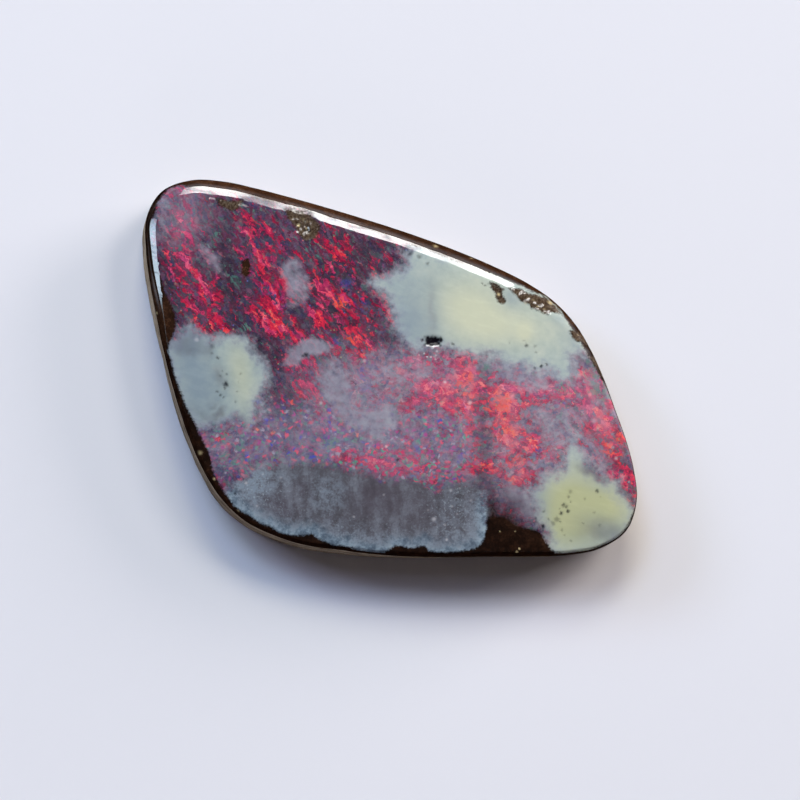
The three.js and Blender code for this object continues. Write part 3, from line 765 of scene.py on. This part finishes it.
steep, flat, slant = g.attr("red_steep"), g.attr("red_flat"), g.attr("red_slant")
to_flat = g.math("GREATER_THAN", flat, steep)
to_slant = g.math("GREATER_THAN", slant, g.math("MAXIMUM", flat, steep))
dark = g.math("MINIMUM", g.attr("dark"), 1.0)
haze = g.math("MINIMUM", g.attr("haze"), 1.0)
pin = g.math("MINIMUM", g.attr("pinfire"), 1.0)


def streaks(along, across):
    p = g.pick(to_flat, g.turned(bent, -52, along, across * 0.9), g.turned(bent, -6, along * 1.5, across * 0.72))
    return g.pick(to_slant, p, g.turned(bent, -46, along * 1.2, across * 0.7))


def dev(noise, amount):
    return g.mul(g.sub(noise, 0.5), amount)


def flakes(p, blur):
    """Random numbers on small flakes with frayed edges."""
    return g.split(g.cells(g.vec("ADD", p, g.vec("MULTIPLY", fuzz, (blur, blur, 0.0))), 1.0)[1])


coarse = g.noise(streaks(0.75, 2.2), 1.0, 4, 0.6)
fine = g.noise(streaks(3.4, 7.8), 1.0, 4, 0.66)
patch_r, patch_g, patch_b = flakes(streaks(1.9, 6.0), 2.0)
flake_r, flake_g, flake_b = flakes(streaks(4.2, 11.0), 2.4)
pin_d, pin_col = g.cells(g.vec("ADD", g.vec("MULTIPLY", flat_pos, (6.0, 6.6, 0.0)), g.vec("MULTIPLY", fuzz, (1.5, 1.5, 0.0))), 1.0)
pin_r, pin_g, pin_b = g.split(pin_col)

# -- body under the colour: dark slate, or mauve grey where it is hazy, with flakes of other hues
body = g.ramp(g.add(g.mul(mottle, 0.6), g.mul(grit, 0.5)), [
    (0.34, lin(35, 27, 37)), (0.48, lin(56, 44, 58)), (0.60, lin(80, 64, 82)), (0.74, lin(108, 98, 114))])
mauve = g.ramp(g.add(g.mul(mottle, 0.6), g.mul(grit, 0.5)), [
    (0.34, lin(70, 62, 82)), (0.50, lin(104, 94, 114)), (0.64, lin(136, 126, 143)), (0.76, lin(164, 156, 170))])
body = g.mix(haze, body, mauve)
others = g.ramp(g.add(g.mul(flake_g, 0.7), g.mul(patch_g, 0.3)), [
    (0.00, lin(40, 34, 40)), (0.22, lin(66, 58, 96)), (0.34, lin(60, 84, 92)), (0.44, lin(100, 48, 76)),
    (0.56, lin(124, 40, 70)), (0.66, lin(108, 88, 116)), (0.76, lin(74, 104, 100)), (0.86, lin(130, 86, 112))])
pale_others = g.ramp(g.add(g.mul(flake_g, 0.7), g.mul(patch_g, 0.3)), [
    (0.00, lin(80, 72, 88)), (0.22, lin(104, 98, 138)), (0.34, lin(98, 128, 138)), (0.44, lin(178, 100, 124)),
    (0.56, lin(196, 78, 100)), (0.66, lin(156, 142, 160)), (0.76, lin(112, 138, 136)), (0.86, lin(208, 146, 156))])
body = g.mix(g.add(g.mul(flake_b, 0.55), 0.22), body, g.mix(haze, others, pale_others))
body = g.mix(g.mul(dark, 0.55), body, lin(40, 32, 38))

# -- red play of colour in flakes and streaks
red_amount = g.math("MINIMUM", g.math("MAXIMUM", g.math("MAXIMUM", g.mul(steep, 0.70), flat), g.mul(slant, 0.85)), 1.1)
fire = g.add(g.add(g.mul(red_amount, 0.60), dev(coarse, 1.05)), g.add(dev(patch_r, 0.60), g.add(dev(flake_r, 0.44), dev(fine, 1.0))))
fire = g.sub(fire, g.add(g.mul(dark, 0.30), 0.11))
glow = g.add(fire, g.add(dev(flake_b, 0.34), dev(grit, 0.5)))
red_hue = g.ramp(glow, [
    (0.05, lin(84, 28, 52)), (0.26, lin(132, 28, 58)), (0.46, lin(178, 34, 66, GAIN)),
    (0.66, lin(216, 44, 70, GAIN)), (0.86, lin(234, 74, 76, GAIN)), (1.0, lin(244, 122, 102, GAIN))])
pinker = g.math("MINIMUM", g.add(g.mul(g.attr("pink"), 0.55), g.step(patch_b, 0.62, 0.95, 0.0, 0.5)), 0.8)
red_hue = g.mix(pinker, red_hue, g.ramp(glow, [
    (0.1, lin(112, 44, 84)), (0.4, lin(168, 58, 108, GAIN)), (0.65, lin(206, 80, 126, GAIN)), (1.0, lin(234, 128, 154, GAIN))]))
hot = g.step(g.add(g.attr("hot"), g.add(dev(flake_r, 1.0), dev(patch_g, 0.5))), 0.45, 1.05)
red_hue = g.mix(g.mul(hot, 0.64), red_hue, lin(246, 92, 58, GAIN))
color = g.mix(g.step(fire, 0.02, 0.40), body, red_hue)

# -- pinfire: small soft flakes of many colours, cooler away from the red
red_here = g.math("MINIMUM", flat, 0.7)
cool_here = g.mul(pin, g.step(flat, 0.0, 0.6, 0.38, 0.0))
color = g.mix(cool_here, color, g.ramp(g.add(g.mul(mottle, 0.6), g.mul(grit, 0.5)), [
    (0.38, lin(68, 64, 92)), (0.54, lin(96, 92, 120)), (0.70, lin(128, 128, 148))]))
pin_hue = g.ramp(g.sub(g.add(g.mul(pin_b, 0.76), 0.22), g.mul(red_here, 0.36)), [
    (0.00, lin(208, 46, 98, GAIN)), (0.20, lin(232, 84, 110, GAIN)), (0.32, lin(182, 70, 140)), (0.43, lin(88, 78, 132)),
    (0.53, lin(74, 122, 164)), (0.63, lin(76, 164, 138)), (0.76, lin(168, 160, 176)), (0.86, lin(98, 86, 146)),
    (0.93, lin(72, 78, 184)), (0.965, lin(234, 126, 104, GAIN))], "CONSTANT")
pin_dot = g.step(pin_d, 0.70, 0.18, 0.08, 1.0)
pin_amount = g.mul(g.mul(pin, pin_dot), g.step(g.add(g.mul(pin_r, 0.6), g.mul(coarse, 0.8)), 0.38, 0.84, 0.05, 0.95))
color = g.mix(pin_amount, color, pin_hue)

# -- tiny bright grains in the dark gaps
grain_d, grain_col = g.cells(pos, 7.0)
grain_r, grain_g, grain_b = g.split(grain_col)
grain_dot = g.mul(g.step(grain_d, 0.36, 0.10), g.step(grain_r, 0.93, 0.95))
color = g.mix(g.mul(grain_dot, 0.55), color, g.ramp(grain_g, [
    (0.0, lin(226, 84, 96)), (0.35, lin(92, 168, 120)), (0.5, lin(190, 176, 110)), (0.62, lin(104, 120, 200)),
    (0.75, lin(230, 130, 120))], "CONSTANT"))

# -- teal and blue flashes
color = g.mix(g.mul(g.step(g.add(g.mul(g.attr("teal"), 0.9), g.add(dev(flake_g, 1.2), dev(fine, 2.0))), 0.50, 1.0), 0.7), color, lin(74, 132, 118, GAIN))
color = g.mix(g.mul(g.step(g.add(g.attr("blue"), g.add(dev(pin_r, 0.9), dev(grit, 0.8))), 0.30, 1.0), 0.75), color, lin(70, 70, 150, GAIN))

# -- milk: thin haze, then the paler veils
milk = g.mul(g.mul(haze, g.sub(1.0, g.math("MAXIMUM", g.mul(pin, 0.40), g.mul(dark, 0.7)))), g.step(g.add(g.mul(cloudy, 0.5), g.mul(mottle, 0.6)), 0.40, 0.75, 0.12, 0.54))
color = g.mix(milk, color, lin(166, 150, 164))
veil_mask = g.step(g.add(g.attr("veil"), g.add(dev(coarse, 1.2), g.add(dev(mottle, 0.8), dev(fine, 0.7)))), 0.15, 1.05)
veil_col = g.ramp(g.add(g.mul(cloudy, 0.6), g.mul(mottle, 0.5)), [
    (0.35, lin(120, 116, 130)), (0.55, lin(150, 147, 160)), (0.75, lin(166, 170, 178))])
color = g.mix(g.mul(veil_mask, 0.85), color, veil_col)

# -- grey translucent zone with a pale clouded rim
grey_sd = g.add(g.attr("grey"), g.add(dev(mottle, 16.0), dev(grit, 3.0)))
grey_mask = g.step(grey_sd, -5.0, 6.0)
upright = g.noise(g.turned(bent, 92, 0.35, 2.2), 1.0, 3, 0.55)
grey_col = g.ramp(g.add(g.add(g.mul(cloudy, 0.45), g.mul(mottle, 0.35)), g.add(g.add(dev(upright, 0.5), 0.15), dev(grit, 0.2))), [
    (0.38, lin(74, 71, 75)), (0.54, lin(94, 92, 99)), (0.72, lin(126, 130, 139))])
grey_col = g.mix(g.mul(g.math("MINIMUM", g.attr("pale"), 1.0), g.step(g.add(g.mul(mottle, 0.6), g.mul(grit, 0.4)), 0.40, 0.60, 0.15, 1.0)), grey_col, lin(134, 146, 158))
rim_sd = g.add(g.attr("opal"), g.add(dev(mottle, 26.0), dev(grit, 2.0)))
rim = g.step(rim_sd, 15.0, 2.0)
grey_col = g.mix(g.mul(rim, 0.9), grey_col, g.ramp(g.add(g.mul(mottle, 0.8), g.mul(grit, 0.2)), [
    (0.36, lin(84, 98, 112)), (0.48, lin(114, 132, 146)), (0.58, lin(148, 166, 178)), (0.68, lin(172, 188, 196))]))
dust = g.mul(g.step(g.noise(pos, 9.5, 2, 0.6), 0.58, 0.68), g.mul(g.math("MINIMUM", g.attr("dust"), 1.0), 0.7))
grey_col = g.mix(dust, grey_col, lin(158, 170, 178))
color = g.mix(grey_mask, color, grey_col)

# -- potch, bluish where it thins out
potch_sd = g.add(g.attr("potch"), g.add(dev(mottle, 22.0), dev(grit, 3.0)))
potch_mask = g.step(potch_sd, -7.0, 10.0)
potch_col = g.ramp(g.add(g.mul(cloudy, 0.5), g.mul(mottle, 0.5)), [
    (0.3, lin(146, 161, 161, GAIN)), (0.5, lin(167, 180, 175, GAIN)), (0.7, lin(186, 194, 182, GAIN))])
potch_col = g.mix(g.mul(g.math("MINIMUM", g.attr("cream"), 1.0), 0.85), potch_col, lin(204, 206, 177, GAIN))
potch_col = g.mix(g.mul(g.math("MINIMUM", g.attr("yellow"), 1.0), 0.65), potch_col, lin(171, 174, 120, GAIN))
potch_col = g.mix(g.mul(g.math("MINIMUM", g.attr("cool"), 1.2), 0.6), potch_col, lin(126, 142, 156, GAIN))
potch_col = g.mix(g.mul(g.step(potch_sd, 16.0, 1.0), 0.45), potch_col, lin(142, 146, 168, GAIN))
color = g.mix(potch_mask, color, potch_col)

# -- specks and glints
color = g.mix(g.mul(g.attr("smudge"), 0.8), color, lin(80, 70, 80))
color = g.mix(g.mul(g.attr("speck"), 0.9), color, lin(26, 26, 34))
color = g.mix(g.attr("pit"), color, lin(20, 16, 24))
color = g.mix(g.mul(g.attr("glint"), 0.5), color, lin(222, 218, 220, GAIN))

# -- ironstone
iron_sd = g.add(g.attr("opal"), dev(grit, 5.0))
iron_sd = g.mul(iron_sd, g.step(g.attr("soft"), 0.0, 0.8, 1.0, 0.17))
iron_mask = g.math("MAXIMUM", g.step(iron_sd, 1.6, -1.6), g.step(g.add(g.attr("girdle"), dev(grit, 0.4)), 0.3, 0.7))
iron_col = g.ramp(g.add(g.mul(mottle, 0.6), g.mul(grit, 0.45)), [
    (0.34, lin(16, 8, 5)), (0.52, lin(28, 15, 9)), (0.66, lin(46, 27, 17)), (0.8, lin(80, 54, 36))])
iron_col = g.mix(g.math("MINIMUM", g.attr("rust"), 1.0), iron_col, g.ramp(g.add(g.mul(mottle, 0.5), g.mul(grit, 0.5)), [
    (0.36, lin(36, 20, 12)), (0.52, lin(58, 35, 22)), (0.68, lin(86, 60, 42))]))
spot_col = g.ramp(g.add(g.mul(grit, 0.7), g.mul(mottle, 0.35)), [
    (0.38, lin(44, 32, 25)), (0.52, lin(74, 60, 48)), (0.66, lin(106, 92, 76)), (0.80, lin(146, 133, 114))])
iron_col = g.mix(g.step(g.attr("spots"), -2.0, 2.0), iron_col, spot_col)
iron_col = g.mix(g.attr("grain"), iron_col, lin(206, 186, 140, GAIN))
color = g.mix(iron_mask, color, iron_col)

polish = g.step(g.noise(g.turned(pos, -17, 1.0, 3.6), 1.0, 4, 0.6), 0.34, 0.52, 0.5, 1.0)
shader = g.node("ShaderNodeBsdfPrincipled")
g.put(shader.inputs["Base Color"], color)
g.put(shader.inputs["Roughness"], g.add(g.mul(grit, 0.2), 0.4))
# at a glancing angle the hand polish shines less than a perfect one
glancing = g.node("ShaderNodeLayerWeight")
glancing.inputs["Blend"].default_value = 0.5
polish = g.mul(polish, g.step(glancing.outputs["Facing"], 0.30, 0.80, 1.0, 0.05))
g.put(shader.inputs["Coat Weight"], g.mul(g.mul(g.attr("gloss"), polish), g.sub(1.0, g.math("MAXIMUM", g.mul(g.step(g.attr("spots"), -4.0, 1.0), g.step(g.add(g.mul(grit, 0.6), g.mul(mottle, 0.4)), 0.44, 0.58, 0.85, 0.25)), g.mul(g.math("MAXIMUM", g.attr("pit"), g.attr("speck")), 0.85)))))
shader.inputs["Specular IOR Level"].default_value = 0.0
shader.inputs["Coat Roughness"].default_value = 0.04
shader.inputs["Coat IOR"].default_value = 1.8
out = g.node("ShaderNodeOutputMaterial")
g.tree.links.new(shader.outputs[0], out.inputs[0])

wall_mat = bpy.data.materials.new("boulder_opal_ironstone")
wall_mat.use_nodes = True
w = Graph(wall_mat)
wpos = w.vec("MULTIPLY", w.node("ShaderNodeTexCoord").outputs["Object"], (1000.0, 1000.0, 1000.0))
bed = w.noise(w.vec("MULTIPLY", wpos, (0.6, 0.6, 4.0)), 1.0, 4, 0.6, 0.4)
patch = w.noise(wpos, 1.3, 4, 0.6)
sand = w.noise(wpos, 13.0, 3, 0.7)
wcol = w.ramp(w.add(w.mul(bed, 0.55), w.mul(patch, 0.5)), [
    (0.34, lin(84, 73, 62)), (0.48, lin(124, 111, 95)), (0.60, lin(150, 136, 118)), (0.74, lin(176, 163, 144))])
wcol = w.mix(1.0, wcol, w.ramp(sand, [(0.3, (0.62, 0.6, 0.58, 1)), (0.55, (1, 1, 1, 1)), (0.75, (1.2, 1.18, 1.12, 1))]), "MULTIPLY")
wz = w.node("ShaderNodeSeparateXYZ")
w.put(wz.inputs[0], wpos)
wall_band_height = w.add(wz.outputs[2], w.mul(w.sub(patch, 0.5), 0.5))
# painted light: the wall is made lighter towards the upper left, where it faces the light from the left
wcol = w.mix(w.mul(w.step(wz.outputs[0], -7.6, -9.8), w.step(wz.outputs[1], -3.0, 4.0)), wcol, (1.55, 1.50, 1.44, 1.0), "MULTIPLY")
# painted highlight: a pale band just below the top of the wall, where its edge catches the light
wcol = w.mix(w.mul(w.step(wall_band_height, 1.70, 1.86), 0.5), wcol, lin(184, 168, 146))
# darker band at the very top of the wall
wcol = w.mix(w.step(wall_band_height, 1.98, 2.12), wcol, lin(34, 22, 15))
wsh = w.node("ShaderNodeBsdfPrincipled")
w.put(wsh.inputs["Base Color"], wcol)
w.put(wsh.inputs["Roughness"], w.add(w.mul(sand, 0.25), 0.55))
wsh.inputs["Specular IOR Level"].default_value = 0.0
wbump = w.node("ShaderNodeBump")
wbump.inputs["Strength"].default_value = 0.5
wbump.inputs["Distance"].default_value = 0.00002
w.put(wbump.inputs["Height"], w.add(w.mul(sand, 0.6), w.mul(bed, 0.6)))
w.put(wsh.inputs["Normal"], wbump.outputs[0])
wout = w.node("ShaderNodeOutputMaterial")
w.tree.links.new(wsh.outputs[0], wout.inputs[0])

mesh.materials.append(stone_mat)
mesh.materials.append(wall_mat)
zone_of_face = np.array([max(zone[list(f)]) for f in faces])
mesh.polygons.foreach_set("material_index", (zone_of_face > 0.5).astype(np.int32))

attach(stone, "root")
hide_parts("boulder_opal")

# ---------------------------------------------------------------------------
# Floor, light and camera
# ---------------------------------------------------------------------------
fl = bpy.data.meshes.new("floor")
s = 3.0
fl.from_pydata([(-s, -s, 0), (s, -s, 0), (s, s, 0), (-s, s, 0)], [], [(0, 1, 2, 3)])
floor = bpy.data.objects.new("floor", fl)
bpy.context.scene.collection.objects.link(floor)
floor.location.z = -0.00001
fm = bpy.data.materials.new("floor_paper")
fm.use_nodes = True
f = Graph(fm)
fsh = f.node("ShaderNodeBsdfPrincipled")
fsh.inputs["Base Color"].default_value = (0.76, 0.76, 0.80, 1.0)
fsh.inputs["Roughness"].default_value = 0.9
fsh.inputs["Specular IOR Level"].default_value = 0.1
fo = f.node("ShaderNodeOutputMaterial")
f.tree.links.new(fsh.outputs[0], fo.inputs[0])
fl.materials.append(fm)


def soft_light(name, azimuth, elevation, distance, size, power, colour, diffuse=True, glossy=True):
    """Rectangular light facing the stone; azimuth from +X, millimetres and watts."""
    a, e = math.radians(azimuth), math.radians(elevation)
    at = Vector((math.cos(a) * math.cos(e), math.sin(a) * math.cos(e), math.sin(e))) * distance * 0.001
    data = bpy.data.lights.new(name, "AREA")
    data.shape = "RECTANGLE"
    data.size, data.size_y = size[0] * 0.001, size[1] * 0.001
    data.energy, data.color = power, colour
    ob = bpy.data.objects.new(name, data)
    ob.location = at
    ob.rotation_mode = "QUATERNION"
    ob.rotation_quaternion = (-at).to_track_quat("-Z", "Y")
    ob.visible_camera = False
    ob.visible_diffuse, ob.visible_glossy = diffuse, glossy
    bpy.context.scene.collection.objects.link(ob)
    return ob


soft_light("window_right", 45, 46, 600, (180, 180), 1.04, (1.0, 0.93, 0.83), glossy=False)
soft_light("window_mid", 90, 46, 600, (180, 180), 1.20, (1.0, 0.93, 0.69), glossy=False)
soft_light("sky_high", 120, 54, 600, (180, 180), 1.20, (0.58, 0.73, 1.0), glossy=False)
soft_light("sky_top", 105, 72, 600, (180, 180), 0.28, (0.74, 0.74, 1.0), glossy=False)
soft_light("sky_left", 135, 30, 600, (180, 180), 0.46, (0.53, 0.92, 1.0), glossy=False)
soft_light("sky_far_left", 150, 30, 600, (180, 180), 1.05, (0.62, 0.68, 1.0), glossy=False)
soft_light("low_right", 30, 15, 600, (300, 300), 3.08, (1.0, 0.90, 0.87), glossy=False)
soft_light("fill", 270, 15, 600, (300, 300), 0.38, (1.0, 0.82, 0.85), glossy=False)
soft_light("window_shine", 80, 26, 540, (410, 410), 5.85, (1.0, 0.99, 0.97), diffuse=False)
soft_light("side_shine", 168, 31, 540, (350, 390), 3.55, (0.66, 0.84, 1.0), diffuse=False)
soft_light("counter_shine", 315, 29, 540, (300, 120), 0.9, (1.0, 1.0, 1.0), diffuse=False)

world = bpy.data.worlds.new("studio")
world.use_nodes = True
bpy.context.scene.world = world
wt = world.node_tree
wt.nodes.clear()
bg = wt.nodes.new("ShaderNodeBackground")
bg.inputs[0].default_value, bg.inputs[1].default_value = (0.86, 0.90, 1.0, 1), 0.02
seen = wt.nodes.new("ShaderNodeBackground")
seen.inputs[0].default_value, seen.inputs[1].default_value = (0.72, 0.72, 0.79, 1), 1.0
path = wt.nodes.new("ShaderNodeLightPath")
mixw = wt.nodes.new("ShaderNodeMixShader")
wo = wt.nodes.new("ShaderNodeOutputWorld")
wt.links.new(path.outputs["Is Camera Ray"], mixw.inputs[0])
wt.links.new(bg.outputs[0], mixw.inputs[1])
wt.links.new(seen.outputs[0], mixw.inputs[2])
wt.links.new(mixw.outputs[0], wo.inputs[0])

bpy.context.scene.view_settings.view_transform = "Standard"

cam_data = bpy.data.cameras.new("camera")
cam_data.sensor_width = 36.0
cam_data.lens = 36.0 * CAM_DIST / (800 * MM_PER_PX)
cam_data.clip_start, cam_data.clip_end = 0.005, 10.0
cam = bpy.data.objects.new("camera", cam_data)
rot = Matrix([RIGHT, UP, -LOOK]).transposed()
cam.matrix_world = Matrix.Translation(Vector((EYE + SHIFT) * 0.001)) @ rot.to_4x4()
bpy.context.scene.collection.objects.link(cam)
bpy.context.scene.camera = cam
